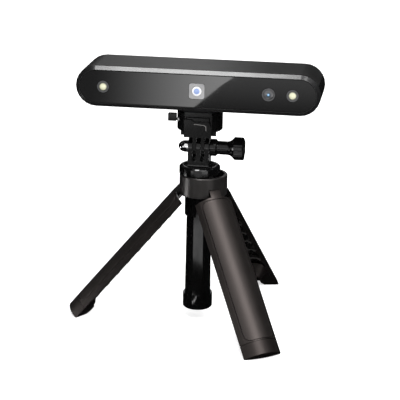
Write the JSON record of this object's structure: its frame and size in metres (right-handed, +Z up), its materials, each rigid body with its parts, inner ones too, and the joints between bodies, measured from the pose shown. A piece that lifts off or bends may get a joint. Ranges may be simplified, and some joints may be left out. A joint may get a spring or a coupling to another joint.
{
  "type": "desktop 3d scanner",
  "caption": "Camera bar with lenses behind a dark glass front, on a quick-release plate, finger joint and thumb screw, over a tripod whose legs fold into a grip round a telescopic post.",
  "frame": {"origin": "centre of the object's outline on the surface it stands on", "axes": "+Z up, the camera bar looks along -Y, +X to the right seen from the front"},
  "size_m": [0.1804, 0.1736, 0.1878],
  "materials": {
    "housing": "fine satin texture",
    "front_glass": "polished dark filter pane",
    "lens_ring": "dark grey",
    "infrared_lens": "pale coated lens",
    "colour_lens": "dark blue coated lens",
    "projector_frame": "light grey",
    "projector_lens": "blue lens in a white ring",
    "module_plastic": "moulded",
    "chassis": "sheet",
    "circuit_board": "solder mask",
    "socket_steel": "drawn shell",
    "insert_brass": "turned",
    "joint_plastic": "moulded, satin",
    "nut_chrome": "polished",
    "screw_steel": "turned",
    "gloss_plastic": "polished black",
    "post_plastic": "polished black",
    "leg_plastic": "moulded, satin",
    "grip_rubber": "fine texture",
    "foot_rubber": "smooth"
  },
  "bodies": {
    "stand": {"hub": "leg_plastic", "collar": "gloss_plastic", "base_tube": "post_plastic", "end_cap": "gloss_plastic", "hinge_pin_1": "screw_steel", "hinge_pin_2": "screw_steel", "hinge_pin_3": "screw_steel"},
    "left_leg": {"leg_1": "leg_plastic", "grip_pad_1": "grip_rubber", "foot_1": "foot_rubber"},
    "front_leg": {"leg_2": "leg_plastic", "grip_pad_2": "grip_rubber", "foot_2": "foot_rubber"},
    "back_leg": {"leg_3": "leg_plastic", "grip_pad_3": "grip_rubber", "foot_3": "foot_rubber"},
    "middle_stage": {"middle_tube": "post_plastic"},
    "upper_stage": {"upper_rod": "post_plastic"},
    "turntable": {"swivel_disc": "gloss_plastic", "swivel_screw": "screw_steel", "finger_base": "joint_plastic", "acorn_nut": "nut_chrome"},
    "head": {"release_foot": "joint_plastic", "release_plate": "joint_plastic", "mounting_screw": "screw_steel", "catch_bush": "screw_steel", "catch_spring": "screw_steel", "main_housing": "housing", "front_glass": "front_glass", "rear_cover": "housing", "cover_screw_1": "screw_steel", "cover_screw_2": "screw_steel", "cover_screw_3": "screw_steel", "cover_screw_4": "screw_steel", "left_lens_ring": "lens_ring", "left_lens": "infrared_lens", "right_lens_ring": "lens_ring", "right_lens": "infrared_lens", "colour_lens_ring": "lens_ring", "colour_lens": "colour_lens", "projector_frame": "projector_frame", "projector_lens": "projector_lens", "left_camera": "module_plastic", "right_camera": "module_plastic", "colour_camera": "module_plastic", "projector": "module_plastic", "chassis_plate": "chassis", "main_board": "circuit_board", "usb_socket": "socket_steel", "thread_insert": "insert_brass"},
    "thumb_screw": {"knob": "joint_plastic", "knob_bolt": "screw_steel"},
    "catch": {"catch_plunger": "joint_plastic"}
  },
  "joints": [
    {"name": "left_leg_fold", "type": "hinge", "parent": "stand", "child": "left_leg", "pos_m": [-0.00759, -0.00578, 0.09958], "axis": [0.1097, -0.994, 0], "range_deg": [0, 40]},
    {"name": "front_leg_fold", "type": "hinge", "parent": "stand", "child": "front_leg", "pos_m": [0.01509, -0.01573, 0.09958], "axis": [0.8059, 0.592, 0], "range_deg": [0, 40]},
    {"name": "back_leg_fold", "type": "hinge", "parent": "stand", "child": "back_leg", "pos_m": [0.01237, 0.00889, 0.09958], "axis": [-0.9157, 0.4019, 0], "range_deg": [0, 40]},
    {"name": "middle_stage_slide", "type": "slide", "parent": "stand", "child": "middle_stage", "axis": [0, 0, 1], "range_m": [0, 0.055]},
    {"name": "upper_stage_slide", "type": "slide", "parent": "middle_stage", "child": "upper_stage", "axis": [0, 0, 1], "range_m": [0, 0.055]},
    {"name": "head_swivel", "type": "hinge", "parent": "upper_stage", "child": "turntable", "pos_m": [0.00382, -0.00421, 0.10958], "axis": [0, 0, 1], "continuous": true},
    {"name": "head_tilt", "type": "hinge", "parent": "turntable", "child": "head", "pos_m": [0.00342, -0.00421, 0.12798], "axis": [1, 0, 0], "range_deg": [-80, 80]},
    {"name": "thumb_screw_turn", "type": "hinge", "parent": "turntable", "child": "thumb_screw", "pos_m": [0.00342, -0.00421, 0.12798], "axis": [1, 0, 0], "continuous": true},
    {"name": "catch_pull", "type": "slide", "parent": "head", "child": "catch", "axis": [-1, 0, 0], "range_m": [0, 0.002], "stiffness_N_per_m": 500, "springref_m": -0.002, "deforming": ["catch_spring"]}
  ]
}
